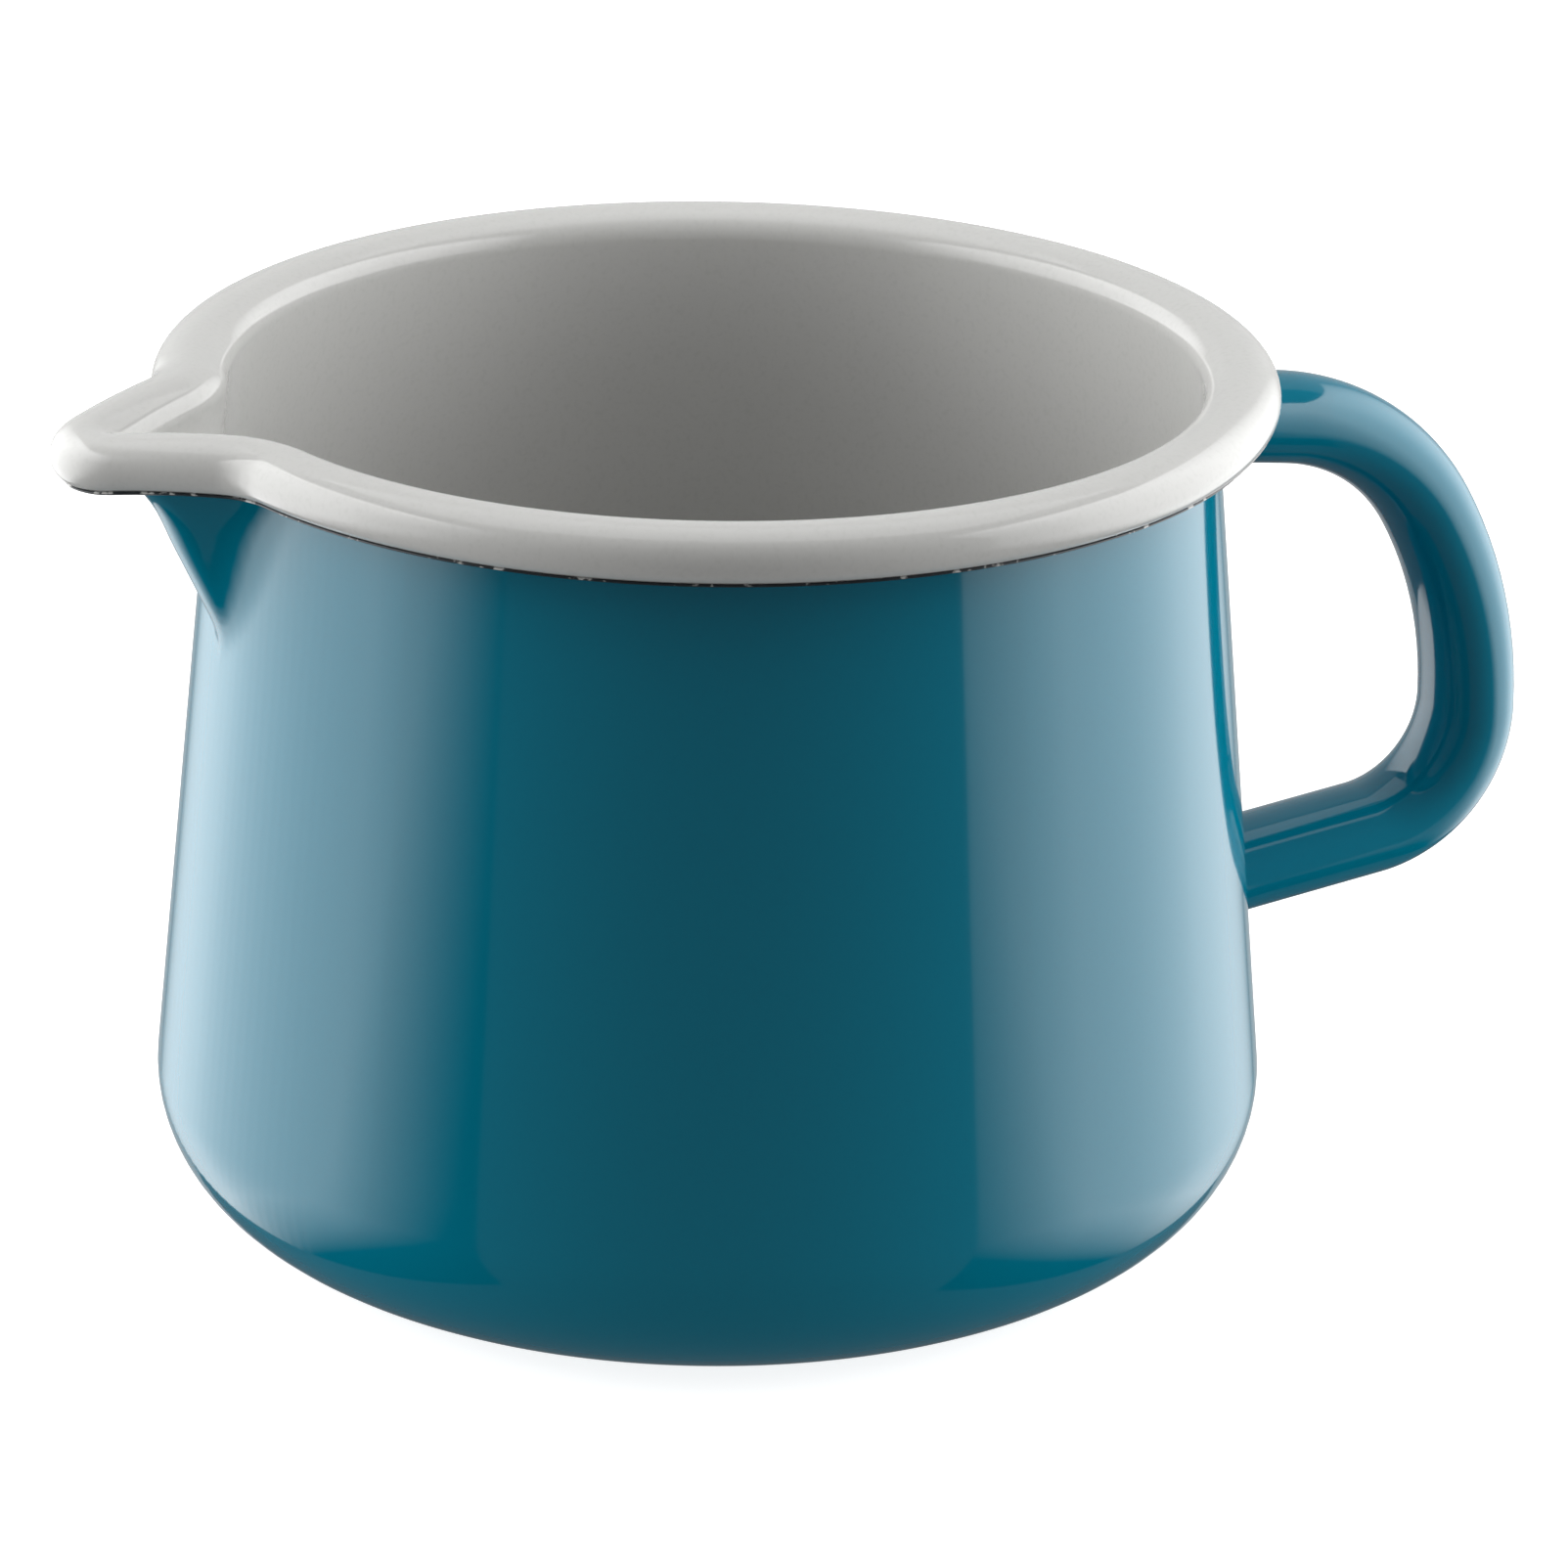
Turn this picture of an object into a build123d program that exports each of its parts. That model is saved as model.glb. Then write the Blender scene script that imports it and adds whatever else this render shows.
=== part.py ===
"""Enamelled steel milk pan with a rolled rim, a pressed pouring spout and a hollow side handle.

Millimetres, +Z up. The origin is the centre of the base, on the surface that the pan stands on.
The spout points to -X and the handle to +X, so the pan is symmetrical about the XZ plane.
"""
import os
from math import atan2, cos, degrees, radians, sin, sqrt, tan

from build123d import *

# Overall sizes of the pan
pan_height = 111.5
rim_radius = 70.0
wall_lean = 5.5
corner_radius = 17.5

# Sheet steel, enamelled on both sides
steel = 0.9
enamel = 0.3

# Rolled rim: the edge of the sheet, turned outwards and down into an oval roll
roll_width = 9.4
roll_height = 7.1
roll_end_share = 0.43
wall_below_roll = 0.4
curl_gap = 0.25
grey_end_angle = 48.0
dark_end_angle = 62.0

# Spout: pressed out of the upper wall, with straight flanks that meet at a rounded keel
spout_throw = 15.4
spout_half_angle = 36.0
spout_root_radius = 14.2
spout_tip_inside = 0.3
spout_depth = 22.0
spout_sector_share = 1.4
keel_inside = 1.5
keel_seed = 0.05
height_shares = (0.27, 0.54, 0.8)
throw_shares = (0.195, 0.385, 0.585)

# Handle: a hollow oval tube of two pressed halves, bent along lines and arcs
handle_thickness = 11.6
handle_width = 16.4
handle_steel = 1.0
handle_droop = 6.84
handle_drop_share = 0.811
top_bar_share = 0.2324
top_bend_share = 0.454
top_bend = 53.0
grip_share = 0.883
grip_bend = 29.6
lower_bend_share = 0.262
lower_bend = 82.4
weld_radius = 1.4
weld_to_roll = 0.25
seat_gap = 0.02

# Sizes that follow from the ones above
wall = steel + 2 * enamel
lean = radians(wall_lean)
roll_z = pan_height - roll_height / 2
roll_radius = rim_radius - roll_width / 2
roll_end_radius = roll_height * roll_end_share
roll_end_offset = roll_width / 2 - roll_end_radius
inner_top_radius = roll_radius - roll_end_offset - roll_end_radius / cos(lean)
outer_top_radius = inner_top_radius + wall / cos(lean)
wall_end_z = roll_z - roll_height / 2 - wall_below_roll
spout_start_z = wall_end_z - spout_depth
spout_tip_radius = roll_width / 2 + spout_tip_inside
spout_tip_centre = roll_radius + spout_throw - spout_tip_radius
keel_radius = wall + keel_inside
handle_top = wall_end_z - weld_to_roll - weld_radius - handle_thickness / 2
handle_drop = (handle_top - corner_radius) * handle_drop_share


def wall_radius(z, inset=0):
    """Radius of the wall at height z, on the face that lies this far inside the outer one."""
    return outer_top_radius + (roll_z - z) * tan(lean) - inset / cos(lean)


def on_circle(radius, angle):
    """A point at this radius, at an angle in degrees from the spout towards +Y."""
    return Vector(-radius * cos(radians(angle)), radius * sin(radians(angle)))


def turned(point):
    """The same point on the other side of the XZ plane."""
    return Vector(point.X, -point.Y)


def arc_about(start, end, centre):
    """The shorter arc from start to end about a centre."""
    middle = (start - centre) + (end - centre)
    return ThreePointArc(start, centre + middle.normalized() * (start - centre).length, end)


def flank_normal():
    """Direction square to the spout's flank on the +Y side."""
    return Vector(-sin(radians(spout_half_angle)), cos(radians(spout_half_angle)))


def root_centre(radius, tip_centre, tip_radius, root_radius):
    """Centre of the hollow curve that joins a flank of the spout to the round wall."""
    along = Vector(-cos(radians(spout_half_angle)), -sin(radians(spout_half_angle)))
    reach = Vector(-tip_centre, 0).dot(flank_normal()) + tip_radius + root_radius
    return flank_normal() * reach + along * sqrt((radius + root_radius) ** 2 - reach**2)


rim_root = root_centre(roll_radius, spout_tip_centre, spout_tip_radius, spout_root_radius)
spout_sector = degrees(atan2(rim_root.Y, -rim_root.X)) * spout_sector_share


def spout_flank(radius, tip_centre, tip_radius, root_radius):
    """Half of a spout's outline, from the middle of its tip to the round wall."""
    normal = flank_normal()
    tip = Vector(-tip_centre, 0)
    root = root_centre(radius, tip_centre, tip_radius, root_radius)
    tip_end = tip + normal * tip_radius
    root_start = root - normal * root_radius
    root_end = root * (radius / (radius + root_radius))
    arc_about(tip + Vector(-tip_radius, 0), tip_end, tip)
    Line(tip_end, root_start)
    arc_about(root_start, root_end, root)
    arc_about(root_end, on_circle(radius, spout_sector), Vector(0, 0))


def spout_level(z, radius, tip_centre, tip_radius, root_radius):
    """Outline of the pan with its spout at one height."""
    with BuildSketch(Plane.XY.offset(z)) as level:
        with BuildLine():
            spout_flank(radius, tip_centre, tip_radius, root_radius)
            mirror(about=Plane.XZ)
            corner = on_circle(radius, spout_sector)
            ThreePointArc(corner, Vector(radius, 0), turned(corner))
        make_face()
    return level.sketch


def pan_form(inset):
    """Solid form of the pan below its roll, on the face that lies this far inside the outer one."""
    drawn_in = inset / cos(lean)
    with BuildPart() as form:
        with BuildSketch(Plane.XZ):
            with BuildLine():
                FilletPolyline(
                    (0, inset),
                    (wall_radius(inset, inset), inset),
                    (wall_radius(spout_start_z, inset), spout_start_z),
                    radius=corner_radius - inset,
                )
                Polyline(
                    (wall_radius(spout_start_z, inset), spout_start_z),
                    (0, spout_start_z),
                    (0, inset),
                )
            make_face()
        revolve(axis=Axis.Z)
        radius = wall_radius(spout_start_z, inset)
        tip = radius + keel_seed * 2 / 3
        add(spout_level(spout_start_z, radius, tip, keel_seed / 3, keel_seed))
        for height_share, throw_share in zip(height_shares, throw_shares):
            z = spout_start_z + spout_depth * height_share
            radius = wall_radius(z, inset)
            tip = wall_radius(z) + spout_throw * throw_share - keel_radius
            root_radius = (spout_root_radius + roll_width / 2) * throw_share + drawn_in
            add(spout_level(z, radius, tip, keel_radius - drawn_in, root_radius))
        radius = wall_radius(wall_end_z, inset)
        set_in = roll_radius - radius
        add(
            spout_level(
                wall_end_z,
                radius,
                spout_tip_centre,
                spout_tip_radius - set_in,
                spout_root_radius + set_in,
            )
        )
        loft()
    return form.part


# The rim's path follows the roll's centre line, from the spout's tip to the handle
rim_plane = Plane(
    origin=(-spout_tip_centre - spout_tip_radius, 0, roll_z), x_dir=(-1, 0, 0), z_dir=(0, 1, 0)
)
with BuildLine(Plane.XY.offset(roll_z)) as rim_path:
    spout_flank(roll_radius, spout_tip_centre, spout_tip_radius, spout_root_radius)
    ThreePointArc(
        on_circle(roll_radius, spout_sector),
        on_circle(roll_radius, (spout_sector + 180) / 2),
        Vector(roll_radius, 0),
    )

# Points of the rim's section are measured from the roll's centre, x outwards and y up
roll_half_diagonal = sqrt((roll_width / 2) ** 2 + (roll_height / 2) ** 2)
roll_flat_radius = (roll_half_diagonal**2 - roll_width * roll_end_radius) / (
    roll_height - 2 * roll_end_radius
)
roll_join_angle = atan2(roll_flat_radius - roll_height / 2, roll_end_offset)
wall_normal = Vector(cos(lean), sin(lean))
wall_down = Vector(sin(lean), -cos(lean))
roll_end_centre = Vector(-roll_end_offset, 0)
drop = roll_z - wall_end_z


def roll_area(inset):
    """Oval of four arcs, drawn in from the roll's outer face."""
    end = roll_end_radius - inset
    x = roll_end_offset + end * cos(roll_join_angle)
    y = end * sin(roll_join_angle)
    half_width = roll_width / 2 - inset
    half_height = roll_height / 2 - inset
    with BuildSketch() as area:
        with BuildLine():
            ThreePointArc((x, -y), (half_width, 0), (x, y))
            ThreePointArc((x, y), (0, half_height), (-x, y))
            ThreePointArc((-x, y), (-half_width, 0), (-x, -y))
            ThreePointArc((-x, -y), (0, -half_height), (x, -y))
        make_face()
    return area.sketch


def wall_strip(inner, outer, end_y):
    """Strip of wall under the roll, between two depths measured from the pan's inner face."""
    top_inner = roll_end_centre - wall_normal * (roll_end_radius - inner)
    top_outer = roll_end_centre - wall_normal * (roll_end_radius - outer)
    low_inner = top_inner + wall_down * ((top_inner.Y - end_y) / cos(lean))
    low_outer = top_outer + wall_down * ((top_outer.Y - end_y) / cos(lean))
    with BuildSketch() as area:
        with BuildLine():
            Polyline(top_inner, top_outer, low_outer, low_inner, close=True)
        make_face()
    return area.sketch


def ray(angle):
    """A point outside the roll, at an angle in degrees below the outward direction."""
    return Vector(roll_width * cos(radians(angle)), -roll_width * sin(radians(angle)))


def area_below(angle):
    """Area under the roll and outside the middle of the wall, from this angle downwards."""
    mid_wall = roll_end_centre - wall_normal * (roll_end_radius - wall / 2)
    with BuildSketch() as area:
        with BuildLine():
            Polyline((0, 0), ray(angle), ray(90), mid_wall + wall_down * roll_width, mid_wall, close=True)
        make_face()
    return area.sketch


# Sections of the rim: the steel, and the coat on it, which changes colour at two angles
with BuildSketch(rim_plane) as steel_section:
    add(roll_area(enamel))
    add(wall_strip(enamel, enamel + steel, -drop))
    add(roll_area(enamel + steel), mode=Mode.SUBTRACT)
    add(wall_strip(enamel + steel, enamel + steel + curl_gap, -roll_height / 2), mode=Mode.SUBTRACT)
with BuildSketch() as coat_section:
    add(roll_area(0))
    add(wall_strip(0, wall, -drop))
    add(roll_area(enamel), mode=Mode.SUBTRACT)
    add(wall_strip(enamel, enamel + steel, -drop), mode=Mode.SUBTRACT)
with BuildSketch(rim_plane) as grey_section:
    add(coat_section.sketch)
    add(area_below(grey_end_angle), mode=Mode.SUBTRACT)
with BuildSketch(rim_plane) as dark_section:
    add(coat_section.sketch)
    add(area_below(grey_end_angle), mode=Mode.INTERSECT)
    add(area_below(dark_end_angle), mode=Mode.SUBTRACT)
with BuildSketch(rim_plane) as teal_section:
    add(coat_section.sketch)
    add(area_below(dark_end_angle), mode=Mode.INTERSECT)


def rim_ring(section):
    """The rim all round, for one area of its section."""
    with BuildPart() as ring:
        add(section)
        sweep(path=rim_path.line)
        mirror(about=Plane.XZ)
    return ring.part


# The four faces that the three layers of the pan share
outer_form = pan_form(0)
steel_outer_form = pan_form(enamel)
steel_inner_form = pan_form(enamel + steel)
inner_form = pan_form(wall)

# Steel body: the drawn sheet with its spout, and its edge rolled into the rim
with BuildPart() as steel_body:
    add(steel_outer_form)
    add(steel_inner_form, mode=Mode.SUBTRACT)
    add(rim_ring(steel_section.sketch))

# Lining: the pale coat of the inside, carried over the roll
with BuildPart() as lining_enamel:
    add(steel_inner_form)
    add(inner_form, mode=Mode.SUBTRACT)
    add(rim_ring(grey_section.sketch))

# Ground coat line: the dark first coat, left bare in a thin line between the two colours
with BuildPart() as ground_coat_line:
    add(rim_ring(dark_section.sketch))

# Handle tube: its path leaves the wall under the roll and comes back to it lower down
leave = Vector(wall_radius(handle_top), 0, handle_top)
heading = Vector(cos(radians(handle_droop)), 0, -sin(radians(handle_droop)))
with BuildLine(Plane.XZ) as handle_path:
    top_bar = Line(leave - heading * handle_thickness, leave + heading * handle_drop * top_bar_share)
    upper = JernArc(top_bar @ 1, top_bar % 1, handle_drop * top_bend_share, -top_bend)
    grip = JernArc(upper @ 1, upper % 1, handle_drop * grip_share, -grip_bend)
    lower = JernArc(grip @ 1, grip % 1, handle_drop * lower_bend_share, -lower_bend)
    bar_length = (lower @ 1).X - inner_top_radius + handle_thickness
    Line(lower @ 1, lower @ 1 + (lower % 1) * bar_length)
tube_plane = Plane(origin=handle_path.line @ 0, x_dir=(0, 1, 0), z_dir=handle_path.line % 0)


def tube(inset):
    """Solid tube on the handle's path, drawn in from the enamelled face."""
    with BuildPart() as rod:
        with BuildSketch(tube_plane):
            Ellipse(handle_width / 2 - inset, handle_thickness / 2 - inset)
        sweep(path=handle_path.line)
    return rod.part


def wall_cone(inset):
    """The plain round wall that the handle is welded to."""
    with BuildPart() as cone:
        with BuildSketch(Plane.XZ):
            with BuildLine():
                Polyline(
                    (0, corner_radius),
                    (wall_radius(corner_radius, inset), corner_radius),
                    (wall_radius(wall_end_z, inset), wall_end_z),
                    (0, wall_end_z),
                    close=True,
                )
            make_face()
        revolve(axis=Axis.Z)
    return cone.part


# Welds: a bead round each end of the tube, on the bare steel under the enamel
with BuildPart() as weld_pair:
    add(wall_cone(enamel))
    add(tube(enamel))
    fillet(edges(Select.NEW), radius=weld_radius)
    add(wall_cone(enamel - seat_gap), mode=Mode.SUBTRACT)
    add(tube(enamel), mode=Mode.SUBTRACT)
beads = weld_pair.solids().sort_by(Axis.Z)
with BuildPart() as lower_weld:
    add(beads[0])
with BuildPart() as upper_weld:
    add(beads[-1])

# Handle halves: two pressed shells that meet along the sides of the tube
with BuildSketch(tube_plane) as shell_section:
    Ellipse(handle_width / 2 - enamel, handle_thickness / 2 - enamel)
    inside = enamel + handle_steel
    Ellipse(handle_width / 2 - inside, handle_thickness / 2 - inside, mode=Mode.SUBTRACT)
with BuildPart() as handle_outer_half:
    with BuildSketch(tube_plane):
        add(shell_section.sketch_local)
        split(bisect_by=Plane.XZ, keep=Keep.BOTTOM)
    sweep(path=handle_path.line)
    add(wall_cone(enamel - seat_gap), mode=Mode.SUBTRACT)
with BuildPart() as handle_inner_half:
    with BuildSketch(tube_plane):
        add(shell_section.sketch_local)
        split(bisect_by=Plane.XZ, keep=Keep.TOP)
    sweep(path=handle_path.line)
    add(wall_cone(enamel - seat_gap), mode=Mode.SUBTRACT)

# Handle enamel: one coat over the tube and over both beads
with BuildPart() as handle_enamel:
    add(wall_cone(0))
    add(tube(0))
    fillet(edges(Select.NEW), radius=weld_radius - enamel)
    add(wall_cone(-seat_gap), mode=Mode.SUBTRACT)
    add(tube(enamel), mode=Mode.SUBTRACT)
    add(weld_pair.part, mode=Mode.SUBTRACT)

# Body enamel: the coloured coat of the outside, open where the handle is welded on
with BuildPart() as body_enamel:
    add(outer_form)
    add(steel_outer_form, mode=Mode.SUBTRACT)
    add(rim_ring(teal_section.sketch))
    add(tube(enamel), mode=Mode.SUBTRACT)
    add(weld_pair.part, mode=Mode.SUBTRACT)

os.makedirs("parts", exist_ok=True)
steel_body.part.label = "steel_body"
export_step(steel_body.part, "parts/steel_body.step")
lining_enamel.part.label = "lining_enamel"
export_step(lining_enamel.part, "parts/lining_enamel.step")
ground_coat_line.part.label = "ground_coat_line"
export_step(ground_coat_line.part, "parts/ground_coat_line.step")
body_enamel.part.label = "body_enamel"
export_step(body_enamel.part, "parts/body_enamel.step")
handle_outer_half.part.label = "handle_outer_half"
export_step(handle_outer_half.part, "parts/handle_outer_half.step")
handle_inner_half.part.label = "handle_inner_half"
export_step(handle_inner_half.part, "parts/handle_inner_half.step")
upper_weld.part.label = "upper_weld"
export_step(upper_weld.part, "parts/upper_weld.step")
lower_weld.part.label = "lower_weld"
export_step(lower_weld.part, "parts/lower_weld.step")
handle_enamel.part.label = "handle_enamel"
export_step(handle_enamel.part, "parts/handle_enamel.step")
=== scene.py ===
"""Enamelled milk pan: petrol outside, pale grey inside and over the rolled rim.

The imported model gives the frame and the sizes. The sheet, its three coats of enamel and the line
of bare ground coat are drawn again here as smooth thin shells, because a glossy coat shows every
facet. The handle's pressed halves and the welds stay as packed, under the coat.
"""
from math import atan2, cos, degrees, hypot, pi, radians, sin, sqrt, tan

import bmesh
import bpy
from mathutils import Euler, Matrix, Vector


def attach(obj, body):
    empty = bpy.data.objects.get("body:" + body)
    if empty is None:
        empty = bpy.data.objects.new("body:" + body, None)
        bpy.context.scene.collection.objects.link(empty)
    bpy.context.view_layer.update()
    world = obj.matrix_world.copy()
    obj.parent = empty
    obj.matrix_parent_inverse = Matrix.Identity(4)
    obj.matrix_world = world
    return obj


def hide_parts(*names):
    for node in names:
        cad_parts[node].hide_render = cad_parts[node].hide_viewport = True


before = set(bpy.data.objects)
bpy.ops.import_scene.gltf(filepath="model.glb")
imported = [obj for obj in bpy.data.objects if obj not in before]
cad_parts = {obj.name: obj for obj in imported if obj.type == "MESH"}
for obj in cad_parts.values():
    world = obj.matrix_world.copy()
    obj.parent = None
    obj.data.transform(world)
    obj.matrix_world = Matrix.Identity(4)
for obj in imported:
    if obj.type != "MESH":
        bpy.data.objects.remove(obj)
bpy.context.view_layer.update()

MM = 0.001

# Sizes of the pan in metres, as in the CAD model
PAN_HEIGHT = 111.5 * MM
RIM_RADIUS = 70.0 * MM
LEAN = radians(5.5)
CORNER_RADIUS = 17.5 * MM
STEEL = 0.9 * MM
ENAMEL = 0.3 * MM
WALL = STEEL + 2 * ENAMEL
ROLL_WIDTH = 9.4 * MM
ROLL_HEIGHT = 7.1 * MM
ROLL_END_RADIUS = 3.05 * MM
WALL_BELOW_ROLL = 0.4 * MM

# Where the grey coat and the dark line end, seen from the middle of the roll, below outwards
GREY_END = radians(45)
DARK_END = radians(62)
CURL_END = radians(-116)

# The spout: its outline at the rim, and its keel down the wall
SPOUT_THROW = 15.4 * MM
SPOUT_HALF_ANGLE = radians(36)
SPOUT_ROOT_RADIUS = 14.2 * MM
SPOUT_TIP_RADIUS = 5.0 * MM
SPOUT_DEPTH = 26.0 * MM
SPOUT_SECTOR = radians(24)
SPOUT_DIP = 1.5 * MM
KEEL_RADIUS = 5.4 * MM
ROOT_SHARE = 0.6
HEIGHT_SHARES = (0.0, 0.15, 0.38, 0.61, 0.83, 1.0)
THROW_SHARES = (0.0, 0.03, 0.235, 0.45, 0.645, 0.857)

# The handle: an oval tube, straight at both ends, with three bends given as radius and angle
HANDLE_THICKNESS = 11.6 * MM
HANDLE_WIDTH = 16.4 * MM
HANDLE_TOP = 96.55 * MM
HANDLE_DROOP = radians(6.84)
TOP_BAR = 14.9 * MM
HANDLE_BENDS = (
    (29.1 * MM, radians(53.0)),
    (56.6 * MM, radians(29.6)),
    (16.8 * MM, radians(82.4)),
)
LOWER_BAR = 18.0 * MM
WELD_LEG = 1.3 * MM
TUBE_START = 4 * WELD_LEG

# How finely the shells are drawn
RING_STEPS = 216
SPOUT_CUTS = 3
BASE_CENTRE = 3.0 * MM
BASE_EDGE_SHARE = 0.97
BASE_STEPS = 7
CORNER_STEPS = 18
LOW_WALL_STEPS = 12
SPOUT_WALL_STEPS = 20
TUBE_RING_STEPS = 64
BEND_STEP = 2.5
SEAT_STEPS = 6
LINING_ROLL_STEPS = 44
STEEL_ROLL_STEPS = 48
PETROL_ROLL_STEPS = 12
DARK_LINE_STEPS = 4
HALVINGS = 50
HAIR = 0.01 * MM

# Sizes that follow from those above
ROLL_Z = PAN_HEIGHT - ROLL_HEIGHT / 2
ROLL_RADIUS = RIM_RADIUS - ROLL_WIDTH / 2
ROLL_END_OFFSET = ROLL_WIDTH / 2 - ROLL_END_RADIUS
OUTER_TOP_RADIUS = ROLL_RADIUS - ROLL_END_OFFSET - (ROLL_END_RADIUS - WALL) / cos(LEAN)
WALL_END_Z = ROLL_Z - ROLL_HEIGHT / 2 - WALL_BELOW_ROLL
SPOUT_START_Z = WALL_END_Z - SPOUT_DEPTH


def wall_radius(z, inset=0.0):
    """Radius of the wall at height z, this far inside its outer face."""
    return OUTER_TOP_RADIUS + (ROLL_Z - z) * tan(LEAN) - inset / cos(LEAN)


def flank(radius, tip_centre, tip_radius, root_radius):
    """Tip end, root start, root centre and root end of one flank of the spout, from above.

    A small spout is a fillet between two circles. Once it stands out far enough, a straight
    flank at the spout's half angle runs between the tip and the root.
    """
    tip = Vector((tip_centre, 0.0))
    across = (radius + root_radius) ** 2 - (tip_radius + root_radius) ** 2 + tip_centre**2
    across /= 2 * tip_centre
    root = Vector((across, sqrt(max((radius + root_radius) ** 2 - across**2, 0.0))))
    tip_end = tip + (root - tip) * (tip_radius / (tip_radius + root_radius))
    root_start = tip_end
    normal = Vector((sin(SPOUT_HALF_ANGLE), cos(SPOUT_HALF_ANGLE)))
    if (root - tip).normalized().x < normal.x:
        along = Vector((cos(SPOUT_HALF_ANGLE), -sin(SPOUT_HALF_ANGLE)))
        reach = tip.dot(normal) + tip_radius + root_radius
        root = normal * reach + along * sqrt(max((radius + root_radius) ** 2 - reach**2, 0.0))
        tip_end = tip + normal * tip_radius
        root_start = root - normal * root_radius
    return tip_end, root_start, root, root * (radius / (radius + root_radius))


def outline_point(angle, radius, tip_centre, tip_radius, root_radius):
    """Point and outward normal of the outline on the ray at this angle from the spout."""
    side = -1.0 if angle < 0 else 1.0
    ray = Vector((cos(abs(angle)), sin(abs(angle))))
    tip_end, root_start, root, root_end = flank(radius, tip_centre, tip_radius, root_radius)
    if abs(angle) >= atan2(root_end.y, root_end.x):
        point, normal = ray * radius, ray.copy()
    elif abs(angle) >= atan2(root_start.y, root_start.x):
        middle = ray.dot(root)
        reach = middle**2 - root.length_squared + root_radius**2
        point = ray * (middle - sqrt(max(reach, 0.0)))
        normal = (root - point).normalized()
    elif abs(angle) >= atan2(tip_end.y, tip_end.x):
        normal = Vector((sin(SPOUT_HALF_ANGLE), cos(SPOUT_HALF_ANGLE)))
        point = ray * (tip_end.dot(normal) / ray.dot(normal))
    else:
        tip = Vector((tip_centre, 0.0))
        middle = ray.dot(tip)
        reach = middle**2 - tip.length_squared + tip_radius**2
        point = ray * (middle + sqrt(max(reach, 0.0)))
        normal = (point - tip).normalized()
    return Vector((point.x, side * point.y)), Vector((normal.x, side * normal.y))


def throw_at(z):
    """How far the spout stands out of the round wall at height z, on a smooth curve."""
    share = min(max((z - SPOUT_START_Z) / SPOUT_DEPTH, 0.0), 1.0)
    last = len(HEIGHT_SHARES) - 1
    step = max(i for i in range(last) if HEIGHT_SHARES[i] <= share)

    def slope(i):
        if i == 0:
            return 0.0
        low, high = max(i - 1, 0), min(i + 1, last)
        rise = HEIGHT_SHARES[high] - HEIGHT_SHARES[low]
        return (THROW_SHARES[high] - THROW_SHARES[low]) / rise

    span = HEIGHT_SHARES[step + 1] - HEIGHT_SHARES[step]
    t = (share - HEIGHT_SHARES[step]) / span
    value = (
        (2 * t**3 - 3 * t**2 + 1) * THROW_SHARES[step]
        + (t**3 - 2 * t**2 + t) * span * slope(step)
        + (3 * t**2 - 2 * t**3) * THROW_SHARES[step + 1]
        + (t**3 - t**2) * span * slope(step + 1)
    )
    return SPOUT_THROW * value


def press_spout(co):
    """Where a point of the plain round pan goes when the spout is pressed out of its wall."""
    angle = atan2(co.y, -co.x)
    rho = hypot(co.x, co.y)
    if abs(angle) >= SPOUT_SECTOR or co.z <= SPOUT_START_Z:
        return co.copy()
    lip_centre = ROLL_RADIUS + SPOUT_THROW - SPOUT_TIP_RADIUS
    base, normal = outline_point(
        angle, ROLL_RADIUS, lip_centre, SPOUT_TIP_RADIUS, SPOUT_ROOT_RADIUS
    )
    if co.z > WALL_END_Z + HAIR:
        # The roll keeps its section and follows the outline
        point = base + normal * (rho - ROLL_RADIUS)
        weight = 1.0
    else:
        # The wall narrows from the round to the keel, and its points turn with the roll's
        inset = wall_radius(co.z) - rho
        throw = throw_at(co.z)
        set_in = ROLL_RADIUS - wall_radius(WALL_END_Z)
        root_share = ROOT_SHARE + (1 - ROOT_SHARE) * throw / SPOUT_THROW
        root_radius = (SPOUT_ROOT_RADIUS + set_in) * root_share + inset
        end = base + normal * (wall_radius(WALL_END_Z) - inset - ROLL_RADIUS)
        height = (co.z - SPOUT_START_Z) / SPOUT_DEPTH
        turned = angle + (atan2(end.y, end.x) - angle) * height**2
        keel_centre = wall_radius(co.z) + throw - KEEL_RADIUS
        point, normal = outline_point(turned, rho, keel_centre, KEEL_RADIUS - inset, root_radius)
        weight = height**2
    lifted = (point.length - rho) / SPOUT_THROW
    return Vector((-point.x, point.y, co.z - SPOUT_DIP * weight * lifted**2))


def roll_point(angle, inset=0.0):
    """Point of the roll's oval face; the angle is that of its normal, upwards from outwards."""
    end = ROLL_END_RADIUS - inset
    flat = (ROLL_WIDTH / 2) ** 2 + (ROLL_HEIGHT / 2) ** 2 - ROLL_WIDTH * ROLL_END_RADIUS
    flat /= ROLL_HEIGHT - 2 * ROLL_END_RADIUS
    join = atan2(flat - ROLL_HEIGHT / 2, ROLL_END_OFFSET)
    turn = atan2(sin(angle), cos(angle))
    if abs(turn) <= join:
        x, y = ROLL_END_OFFSET + end * cos(turn), end * sin(turn)
    elif abs(turn) >= pi - join:
        x, y = -ROLL_END_OFFSET + end * cos(turn), end * sin(turn)
    else:
        up = 1.0 if turn > 0 else -1.0
        x = (flat - inset) * cos(turn)
        y = -up * (flat - ROLL_HEIGHT / 2) + (flat - inset) * sin(turn)
    return ROLL_RADIUS + x, ROLL_Z + y


def between(first, last, steps):
    """Evenly spaced values from first to last, both included."""
    return [first + (last - first) * i / steps for i in range(steps + 1)]


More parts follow.
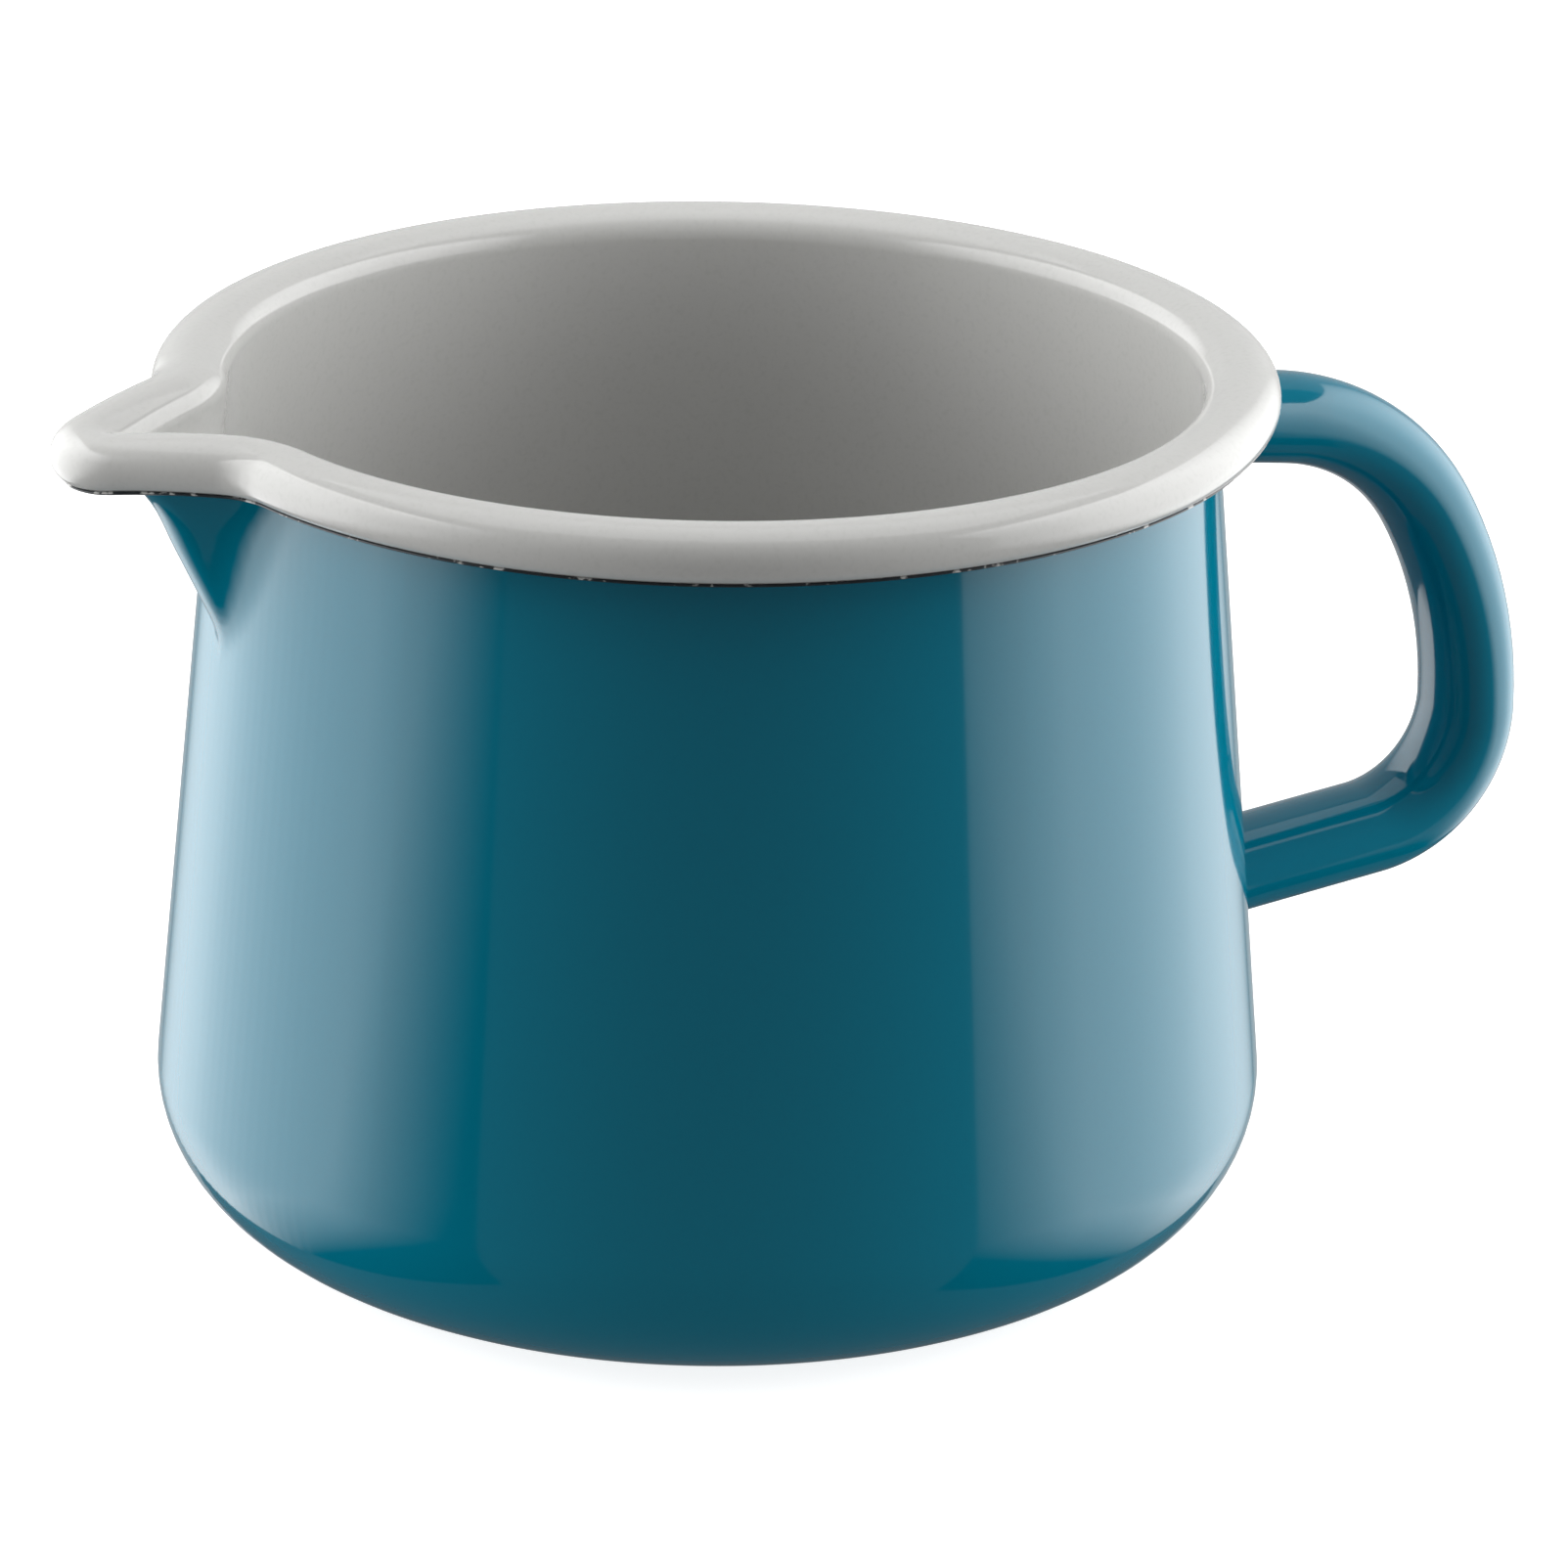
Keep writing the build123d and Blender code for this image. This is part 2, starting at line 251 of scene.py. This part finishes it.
def base_to_rim(inset):
    """Profile of base, corner and wall as (radius, height), this far inside the outer face."""
    radius = CORNER_RADIUS - inset
    centre_z = inset + radius
    centre = wall_radius(centre_z, inset) - radius / cos(LEAN)
    points = [(rho, inset) for rho in between(BASE_CENTRE, centre * BASE_EDGE_SHARE, BASE_STEPS)]
    points += [
        (centre + radius * sin(a), centre_z - radius * cos(a))
        for a in between(0, pi / 2 + LEAN, CORNER_STEPS)
    ]
    low_wall = between(points[-1][1], SPOUT_START_Z, LOW_WALL_STEPS)
    spout_wall = between(SPOUT_START_Z, WALL_END_Z, SPOUT_WALL_STEPS)
    return points + [(wall_radius(z, inset), z) for z in low_wall[1:] + spout_wall[1:]]


def last_that_holds(low, high, holds):
    """The largest value between low and high for which this holds, found by halving."""
    for _ in range(HALVINGS):
        middle = (low + high) / 2
        if holds(middle):
            low = middle
        else:
            high = middle
    return low


def normal_angle(seen_at):
    """Angle of the roll's normal, below outwards, where its middle sees the face at seen_at."""

    def above(angle):
        rho, z = roll_point(-angle)
        return atan2(ROLL_Z - z, rho - ROLL_RADIUS) < seen_at

    return last_that_holds(0.0, pi / 2, above)


grey_edge = -normal_angle(GREY_END)
dark_edge = -normal_angle(DARK_END)
lining_profile = base_to_rim(WALL)
lining_profile += [roll_point(a) for a in between(pi + LEAN, grey_edge, LINING_ROLL_STEPS)]
steel_profile = base_to_rim(ENAMEL + STEEL)
steel_profile += [
    roll_point(a, ENAMEL) for a in between(pi + LEAN, CURL_END, STEEL_ROLL_STEPS)
]
dark_profile = [roll_point(a) for a in between(grey_edge, dark_edge, DARK_LINE_STEPS)]
outside_profile = base_to_rim(0.0)
outside_profile += [roll_point(a) for a in between(CURL_END, dark_edge, PETROL_ROLL_STEPS)]


def spin_up(name, profile, thickness, faces_in):
    """Draw a ring up a profile, press the spout out of it and give the sheet its thickness."""
    start = profile[0][0]
    closed_middle = start < CORNER_RADIUS

    def on_ring(edge):
        return all(hypot(v.co.x, v.co.y) > 0.9 * start for v in edge.verts)

    bpy.ops.object.select_all(action="DESELECT")
    bpy.ops.mesh.primitive_circle_add(
        vertices=RING_STEPS,
        radius=start,
        fill_type="TRIFAN" if closed_middle else "NOTHING",
        location=(0, 0, profile[0][1]),
    )
    piece = bpy.context.object
    piece.name = name
    bpy.ops.object.transform_apply(location=True, rotation=True, scale=True)
    bpy.ops.object.mode_set(mode="EDIT")
    bpy.ops.mesh.select_mode(type="EDGE")

    # The ring is cut finer where the spout will be
    mesh = bmesh.from_edit_mesh(piece.data)
    for edge in mesh.edges:
        near = all(abs(atan2(v.co.y, -v.co.x)) < SPOUT_SECTOR + radians(2) for v in edge.verts)
        edge.select_set(on_ring(edge) and near)
    bpy.ops.mesh.subdivide(number_cuts=SPOUT_CUTS)
    bpy.ops.mesh.select_all(action="DESELECT")
    mesh = bmesh.from_edit_mesh(piece.data)
    for edge in mesh.edges:
        edge.select_set(on_ring(edge))
    bmesh.update_edit_mesh(piece.data)
    for (rho, z), (next_rho, next_z) in zip(profile, profile[1:]):
        bpy.ops.mesh.extrude_region_move(TRANSFORM_OT_translate={"value": (0, 0, next_z - z)})
        grow = next_rho / rho
        bpy.ops.transform.resize(value=(grow, grow, 1), center_override=(0, 0, 0))

    # The height before the pressing is kept, for the ragged edge of the grey coat
    mesh = bmesh.from_edit_mesh(piece.data)
    drawn_height = mesh.verts.layers.float.new("drawn_height")
    for vert in mesh.verts:
        vert[drawn_height] = vert.co.z
        vert.co = press_spout(vert.co)
    mesh.normal_update()
    lowest = min(mesh.faces, key=lambda face: face.calc_center_median().z)
    if closed_middle:
        faces_axis = lowest.normal.z > 0
    else:
        faces_axis = lowest.normal.dot(lowest.calc_center_median()) < 0
    if faces_axis != faces_in:
        bmesh.ops.reverse_faces(mesh, faces=mesh.faces)
    bmesh.update_edit_mesh(piece.data)
    bpy.ops.object.mode_set(mode="OBJECT")
    bpy.ops.object.modifier_add(type="SOLIDIFY")
    piece.modifiers[-1].thickness = thickness
    piece.modifiers[-1].offset = -1
    bpy.ops.object.modifier_apply(modifier=piece.modifiers[-1].name)
    bpy.ops.object.shade_smooth()
    return piece


lining = spin_up("lining_coat", lining_profile, ENAMEL, True)
sheet = spin_up("drawn_steel", steel_profile, STEEL, True)
outside = spin_up("petrol_coat", outside_profile, ENAMEL, False)
dark_line = spin_up("bare_ground_coat", dark_profile, ENAMEL, False)
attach(lining, "root")
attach(sheet, "root")
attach(outside, "root")
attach(dark_line, "root")
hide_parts("lining_enamel")
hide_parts("steel_body")
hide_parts("body_enamel")
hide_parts("ground_coat_line")


def wall_hit(point, direction):
    """Where a line from this point meets the outer face of the round wall."""

    def outside_wall(distance):
        at = point + direction * distance
        return hypot(at.x, at.y) > wall_radius(at.z)

    return point + direction * last_that_holds(0.0, 40 * MM, outside_wall)


def fillet_point(base, centre, towards_wall, share, depth):
    """Point of the fillet between tube and wall, from the tube (share 0) to the wall (1)."""
    hit = wall_hit(base, towards_wall)
    away = base - centre
    away -= towards_wall * away.dot(towards_wall)
    wall_normal = Vector((hit.x, hit.y, 0)).normalized() * cos(LEAN) + Vector((0, 0, sin(LEAN)))
    along = (away - wall_normal * away.dot(wall_normal)).normalized()
    first = hit - towards_wall * WELD_LEG
    last = hit + along * WELD_LEG
    grow = (wall_radius(last.z) - depth) / hypot(last.x, last.y)
    last = Vector((last.x * grow, last.y * grow, last.z))
    return first * (1 - share) ** 2 + hit * 2 * share * (1 - share) + last * share**2


def seat_on_wall(piece, centre, towards_wall):
    """Carry one open end of the tube down to the wall in a small fillet, and close it there."""
    mesh = bmesh.from_edit_mesh(piece.data)
    ring = [
        edge
        for edge in mesh.edges
        if edge.is_boundary and all((v.co - centre).length < HANDLE_WIDTH for v in edge.verts)
    ]
    bases = [v.co.copy() for v in {v for edge in ring for v in edge.verts}]
    spots = list(bases)
    steps = [(share, 0.0) for share in between(0, 1, SEAT_STEPS)] + [(1.0, ENAMEL / 2)]
    for share, depth in steps:
        grown = bmesh.ops.extrude_edge_only(mesh, edges=ring)["geom"]
        ring = [part for part in grown if isinstance(part, bmesh.types.BMEdge)]
        moved = list(spots)
        for vert in [part for part in grown if isinstance(part, bmesh.types.BMVert)]:
            index = min(range(len(spots)), key=lambda i: (spots[i] - vert.co).length_squared)
            moved[index] = fillet_point(bases[index], centre, towards_wall, share, depth)
            vert.co = moved[index]
        spots = moved
    bmesh.ops.contextual_create(mesh, geom=ring)
    bmesh.update_edit_mesh(piece.data)


def draw_handle():
    """The handle's coat: an oval ring drawn along the bar, through the bends and to the wall."""
    first_heading = Vector((cos(HANDLE_DROOP), 0, -sin(HANDLE_DROOP)))
    heading = first_heading
    start = Vector((wall_radius(HANDLE_TOP), 0, HANDLE_TOP)) + heading * TUBE_START
    bpy.ops.object.select_all(action="DESELECT")
    bpy.ops.mesh.primitive_circle_add(vertices=TUBE_RING_STEPS, radius=1)
    piece = bpy.context.object
    piece.name = "handle_coat"
    piece.scale = (HANDLE_THICKNESS / 2, HANDLE_WIDTH / 2, 1)
    piece.rotation_euler = (0, pi / 2 + HANDLE_DROOP, 0)
    piece.location = start
    bpy.ops.object.transform_apply(location=True, rotation=True, scale=True)
    bpy.ops.object.mode_set(mode="EDIT")
    bpy.ops.mesh.select_mode(type="EDGE")
    bpy.ops.mesh.select_all(action="SELECT")
    at = start + heading * (TOP_BAR - TUBE_START)
    bpy.ops.mesh.extrude_region_move(TRANSFORM_OT_translate={"value": at - start})
    for radius, bend in HANDLE_BENDS:
        inwards = Vector((heading.z, 0, -heading.x))
        centre = at + inwards * radius
        steps = max(8, round(degrees(bend) / BEND_STEP))
        bpy.ops.mesh.spin(steps=steps, angle=-bend, center=centre, axis=(0, 1, 0))
        turn = Matrix.Rotation(bend, 3, "Y")
        at = centre + turn @ (at - centre)
        heading = turn @ heading
    bpy.ops.mesh.extrude_region_move(TRANSFORM_OT_translate={"value": heading * LOWER_BAR})
    seat_on_wall(piece, start, -first_heading)
    seat_on_wall(piece, at + heading * LOWER_BAR, heading)
    bpy.ops.mesh.select_all(action="SELECT")
    bpy.ops.mesh.remove_doubles(threshold=1e-6)
    bpy.ops.mesh.normals_make_consistent(inside=False)
    bpy.ops.object.mode_set(mode="OBJECT")
    bpy.ops.object.shade_smooth()
    return piece


handle = draw_handle()
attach(handle, "root")
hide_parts("handle_enamel")


def add_node(tree, kind, **values):
    """A new node, with its input sockets set by name."""
    node = tree.nodes.new("ShaderNode" + kind)
    for name, value in values.items():
        node.inputs[name.replace("_", " ")].default_value = value
    return node


def object_position(tree):
    """Place on the piece, in metres."""
    return tree.nodes.new("ShaderNodeTexCoord").outputs["Object"]


def noise(tree, scale, detail):
    """Soft noise over the piece, from 0 to 1."""
    node = add_node(tree, "TexNoise", Scale=scale, Detail=detail)
    tree.links.new(object_position(tree), node.inputs["Vector"])
    return node.outputs["Fac"]


def ramp(tree, value, start, end, low=0.0, high=1.0, clamp=True):
    """A value that runs from low to high while another one runs from start to end."""
    node = add_node(tree, "MapRange", From_Min=start, From_Max=end, To_Min=low, To_Max=high)
    node.clamp = clamp
    tree.links.new(value, node.inputs["Value"])
    return node.outputs["Result"]


def calculate(tree, operation, *values):
    """One sum or product of sockets and plain numbers."""
    node = tree.nodes.new("ShaderNodeMath")
    node.operation = operation
    for socket, value in zip(node.inputs, values):
        if isinstance(value, bpy.types.NodeSocket):
            tree.links.new(value, socket)
        else:
            socket.default_value = value
    return node.outputs[0]


def mix_colours(tree, share):
    """A node that mixes colour A with colour B by this share."""
    node = tree.nodes.new("ShaderNodeMix")
    node.data_type = "RGBA"
    tree.links.new(share, node.inputs["Factor"])
    return node


# Scales of the noises in the enamel, and how far the grey coat's edge wanders on the dark line
SPECK_SCALE = 1400
RIPPLE_SCALE = 60
JAG_SCALE = 450
JAG_DEPTH = 1.8
JAG_SHIFT = -0.66


def enamel_skin():
    """Node group: glass with a faint ripple and very fine specks."""
    group = bpy.data.node_groups.new("enamel_skin", "ShaderNodeTree")
    for name, kind, value in (
        ("Colour", "NodeSocketColor", (0.5, 0.5, 0.5, 1)),
        ("Speck Colour", "NodeSocketColor", (0.4, 0.4, 0.4, 1)),
        ("Speck Amount", "NodeSocketFloat", 0.1),
        ("Ripple", "NodeSocketFloat", 0.02),
    ):
        socket = group.interface.new_socket(name=name, in_out="INPUT", socket_type=kind)
        socket.default_value = value
    group.interface.new_socket(name="Colour", in_out="OUTPUT", socket_type="NodeSocketColor")
    group.interface.new_socket(name="Normal", in_out="OUTPUT", socket_type="NodeSocketVector")
    inputs = group.nodes.new("NodeGroupInput")
    outputs = group.nodes.new("NodeGroupOutput")
    specks = ramp(group, noise(group, SPECK_SCALE, 2), 0.5, 0.75)
    mix = mix_colours(group, calculate(group, "MULTIPLY", specks, inputs.outputs["Speck Amount"]))
    group.links.new(inputs.outputs["Colour"], mix.inputs["A"])
    group.links.new(inputs.outputs["Speck Colour"], mix.inputs["B"])
    group.links.new(mix.outputs["Result"], outputs.inputs["Colour"])
    bump = add_node(group, "Bump", Distance=0.2 * MM)
    group.links.new(noise(group, RIPPLE_SCALE, 1), bump.inputs["Height"])
    group.links.new(inputs.outputs["Ripple"], bump.inputs["Strength"])
    group.links.new(bump.outputs["Normal"], outputs.inputs["Normal"])
    return group


skin = enamel_skin()


def enamel(name, colour, speck_colour, speck_amount, ripple, roughness):
    """A glossy glass enamel in one colour."""
    paint = bpy.data.materials.new(name)
    paint.use_nodes = True
    tree = paint.node_tree
    shader = tree.nodes["Principled BSDF"]
    shader.inputs["Roughness"].default_value = roughness
    shader.inputs["IOR"].default_value = 1.5
    coat = tree.nodes.new("ShaderNodeGroup")
    coat.node_tree = skin
    coat.inputs["Colour"].default_value = (*colour, 1)
    coat.inputs["Speck Colour"].default_value = (*speck_colour, 1)
    coat.inputs["Speck Amount"].default_value = speck_amount
    coat.inputs["Ripple"].default_value = ripple
    tree.links.new(coat.outputs["Colour"], shader.inputs["Base Color"])
    tree.links.new(coat.outputs["Normal"], shader.inputs["Normal"])
    return paint


def ragged_edge():
    """Node group: 0 in the grey coat, 1 on the bare line, with an edge that wanders."""
    group = bpy.data.node_groups.new("ragged_edge", "ShaderNodeTree")
    group.interface.new_socket(name="Bare", in_out="OUTPUT", socket_type="NodeSocketFloat")
    outputs = group.nodes.new("NodeGroupOutput")
    height = group.nodes.new("ShaderNodeAttribute")
    height.attribute_name = "drawn_height"
    top, foot = dark_profile[0][1], dark_profile[-1][1]
    down = ramp(group, height.outputs["Fac"], top, foot, clamp=False)
    shift = calculate(group, "MULTIPLY_ADD", noise(group, JAG_SCALE, 3), JAG_DEPTH, JAG_SHIFT)
    bare = ramp(group, calculate(group, "ADD", down, shift), 0.02, 0.1)
    group.links.new(bare, outputs.inputs["Bare"])
    return group


def bare_metal(name, colour, roughness):
    """The plain metal under the enamel."""
    metal = bpy.data.materials.new(name)
    metal.use_nodes = True
    shader = metal.node_tree.nodes["Principled BSDF"]
    shader.inputs["Base Color"].default_value = (*colour, 1)
    shader.inputs["Metallic"].default_value = 1.0
    shader.inputs["Roughness"].default_value = roughness
    return metal


PETROL = (0.0, 0.135, 0.205)
PETROL_SPECKS = (0.0, 0.12, 0.19)
GREY = (0.51, 0.51, 0.497)
GREY_SPECKS = (0.4, 0.4, 0.385)
DARK = (0.012, 0.016, 0.02)
DARK_SPECKS = (0.03, 0.04, 0.05)
petrol_enamel = enamel("petrol_enamel", PETROL, PETROL_SPECKS, 0.25, 0.05, 0.07)
grey_enamel = enamel("grey_enamel", GREY, GREY_SPECKS, 0.25, 0.04, 0.06)
ground_coat = enamel("bare_ground_coat", DARK, DARK_SPECKS, 0.4, 0.1, 0.3)
sheet_steel = bare_metal("sheet_steel", (0.5, 0.5, 0.5), 0.4)
weld_metal = bare_metal("weld_metal", (0.4, 0.39, 0.38), 0.5)

# The grey coat runs raggedly over the dark one
dark_tree = ground_coat.node_tree
dark_skin = next(node for node in dark_tree.nodes if node.type == "GROUP")
bare_mask = dark_tree.nodes.new("ShaderNodeGroup")
bare_mask.node_tree = ragged_edge()
over = mix_colours(dark_tree, bare_mask.outputs["Bare"])
over.inputs["A"].default_value = (*GREY, 1)
dark_tree.links.new(dark_skin.outputs["Colour"], over.inputs["B"])
dark_shader = dark_tree.nodes["Principled BSDF"]
dark_tree.links.new(over.outputs["Result"], dark_shader.inputs["Base Color"])

for piece, paint in (
    (lining, grey_enamel),
    (sheet, sheet_steel),
    (outside, petrol_enamel),
    (handle, petrol_enamel),
    (dark_line, ground_coat),
    (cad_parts["handle_inner_half"], sheet_steel),
    (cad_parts["handle_outer_half"], sheet_steel),
    (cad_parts["upper_weld"], weld_metal),
    (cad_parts["lower_weld"], weld_metal),
):
    piece.data.materials.clear()
    piece.data.materials.append(paint)

# The camera, fitted to the photograph
CAMERA_PLACE = (-0.2928, -0.7432, 0.3645)
CAMERA_HEADING = radians(-22.163)
CAMERA_LOOKS_DOWN = radians(21.233)
CAMERA_ROLL = 0.017446
aim = Euler((pi / 2 - CAMERA_LOOKS_DOWN, 0, CAMERA_HEADING)).to_matrix()
aim = aim @ Matrix.Rotation(CAMERA_ROLL, 3, "Z")
bpy.ops.object.camera_add(location=CAMERA_PLACE, rotation=aim.to_euler())
camera = bpy.context.object
camera.data.lens = 154.84
camera.data.sensor_width = 36
bpy.context.scene.camera = camera

# The studio is placed as seen from the camera: x to the right, y away from it
STUDIO_TURN = radians(-21.5)
STUDIO = Matrix.Rotation(STUDIO_TURN, 3, "Z")


def stage_plane(name, at, wide, high, turn):
    """A flat part of the studio with a material of its own, and the bare tree of that material."""
    bpy.ops.object.select_all(action="DESELECT")
    bpy.ops.mesh.primitive_plane_add(size=1, location=at)
    plane = bpy.context.object
    plane.name = name
    plane.scale = (wide, high, 1)
    bpy.ops.object.transform_apply(location=False, rotation=False, scale=True)
    plane.rotation_euler = turn
    paint = bpy.data.materials.new(name)
    paint.use_nodes = True
    paint.node_tree.nodes.clear()
    plane.data.materials.append(paint)
    return plane, paint.node_tree


def surface_is(tree, shader, output="OutputMaterial"):
    """Make this shader the surface of the material, or of the world."""
    tree.links.new(shader, add_node(tree, output).inputs["Surface"])


def mix_shaders(tree, ray, other, seen):
    """The second shader for rays of this kind, and the first one for all others."""
    mix = add_node(tree, "MixShader")
    tree.links.new(add_node(tree, "LightPath").outputs[ray], mix.inputs["Fac"])
    tree.links.new(other, mix.inputs[1])
    tree.links.new(seen, mix.inputs[2])
    return mix.outputs[0]


def add_shaders(tree, first, second):
    """Both shaders together."""
    both = add_node(tree, "AddShader")
    tree.links.new(first, both.inputs[0])
    tree.links.new(second, both.inputs[1])
    return both.outputs[0]


# How the light falls off over a soft box, in shares and metres
FOOT_LEVEL = 0.45
TOP_LEVEL = 0.75
BACK_LEVEL = 0.08
BACK_FADE = 1.1
FOOT_START = -0.34
FOOT_FULL = -0.08
FOOT_DROP = 0.2


def soft_box(name, place, wide, high, radiance, front, front_share, front_fade, foot_slant):
    """A panel of light that fades at its front edge, over its back half and at its slanted foot.

    front is the direction along the panel's own x in which its front edge lies.
    """
    at = STUDIO @ Vector(place)
    target = STUDIO @ Vector((0, place[1], place[2]))
    turn = (target - at).to_track_quat("-Z", "Y").to_euler()
    box, tree = stage_plane(name, at, wide, high, turn)
    split = add_node(tree, "SeparateXYZ")
    tree.links.new(object_position(tree), split.inputs["Vector"])
    x, y = split.outputs["X"], split.outputs["Y"]
    half = wide / 2
    dim = front_share * radiance
    level = ramp(tree, x, front * half, front * (half - front_fade), dim, radiance)
    foot_at = -place[2] - FOOT_DROP * wide
    slanted = calculate(tree, "MULTIPLY_ADD", x, -foot_slant * front, y)
    for share in (
        ramp(tree, y, -high / 2, high / 2, FOOT_LEVEL, TOP_LEVEL),
        ramp(tree, x, -front * (half - BACK_FADE), -front * half, 1.0, BACK_LEVEL),
        ramp(tree, slanted, foot_at + FOOT_START, foot_at + FOOT_FULL),
    ):
        level = calculate(tree, "MULTIPLY", level, share)
    glow = add_node(tree, "Emission")
    tree.links.new(level, glow.inputs["Strength"])
    surface_is(tree, glow.outputs[0])
    box.visible_camera = False
    box.visible_shadow = False


soft_box("left_soft_box", (-0.55, 0.47, 0.08), 2.06, 1.38, 5.0, 1, 0.05, 0.42, 0.62)
soft_box("right_soft_box", (0.55, 0.495, 0.08), 1.81, 1.38, 5.0, -1, 0.38, 0.3, 0.48)


def lamp(name, place, wide, high, radiance, mirrored):
    """A flat lamp that shines on the pan; mirrored says whether the gloss shows it."""
    at = STUDIO @ Vector(place)
    aim_at_pan = (Vector((0, 0, 0.06)) - at).to_track_quat("-Z", "Y")
    bpy.ops.object.light_add(type="AREA", location=at, rotation=aim_at_pan.to_euler())
    flat = bpy.context.object
    flat.name = name
    flat.data.shape = "RECTANGLE"
    flat.data.size = wide
    flat.data.size_y = high
    flat.data.energy = radiance * wide * high * pi
    flat.visible_camera = False
    flat.visible_glossy = mirrored


lamp("top_lamp", (0, 0.25, 0.85), 0.8, 0.6, 1.0, True)
lamp("left_fill", (-0.6, 0.03, 0.16), 0.4, 0.4, 4.0, False)
lamp("right_fill", (0.6, 0.03, 0.16), 0.4, 0.4, 4.0, False)
lamp("front_fill", (0, -0.3, 0.85), 0.4, 0.4, 0.7, False)

# A glowing wall behind the pan, which its edges mirror
upright = (pi / 2, 0, STUDIO_TURN)
backdrop, tree = stage_plane("white_backdrop", STUDIO @ Vector((0, 1.5, 0.5)), 3.2, 3.0, upright)
surface_is(tree, add_node(tree, "Emission", Strength=0.5).outputs[0])
backdrop.visible_camera = False
backdrop.visible_shadow = False

# The floor: white to the camera, clear to the gloss, and to all else grey with a pale ring of
# light round the pan. It lies a little under the base, so that the two never share a plane.
tree = stage_plane("studio_floor", (0, 0, -0.2 * MM), 6, 6, (0, 0, 0))[1]
far = add_node(tree, "VectorMath")
far.operation = "LENGTH"
tree.links.new(object_position(tree), far.inputs[0])
ring = add_node(tree, "Emission")
tree.links.new(ramp(tree, far.outputs["Value"], 0.14, 0.34, 0.42, 0.0), ring.inputs["Strength"])
grey_table = add_node(tree, "BsdfDiffuse", Color=(0.2, 0.2, 0.2, 1))
table = add_shaders(tree, grey_table.outputs[0], ring.outputs[0])
pale = add_node(tree, "BsdfDiffuse", Color=(0.5, 0.5, 0.5, 1))
glow = add_node(tree, "Emission", Strength=0.85)
white = add_shaders(tree, pale.outputs[0], glow.outputs[0])
seen = mix_shaders(tree, "Is Camera Ray", table, white)
clear = add_node(tree, "BsdfTransparent")
surface_is(tree, mix_shaders(tree, "Is Glossy Ray", seen, clear.outputs[0]))

# The room: white to the camera, dim grey to all else
world = bpy.data.worlds.new("studio")
bpy.context.scene.world = world
world.use_nodes = True
tree = world.node_tree
tree.nodes.clear()
room = add_node(tree, "Background", Color=(0.14, 0.14, 0.14, 1))
white_sky = add_node(tree, "Background", Color=(1, 1, 1, 1))
sky = mix_shaders(tree, "Is Camera Ray", room.outputs[0], white_sky.outputs[0])
surface_is(tree, sky, "OutputWorld")

bpy.context.scene.view_settings.view_transform = "Standard"
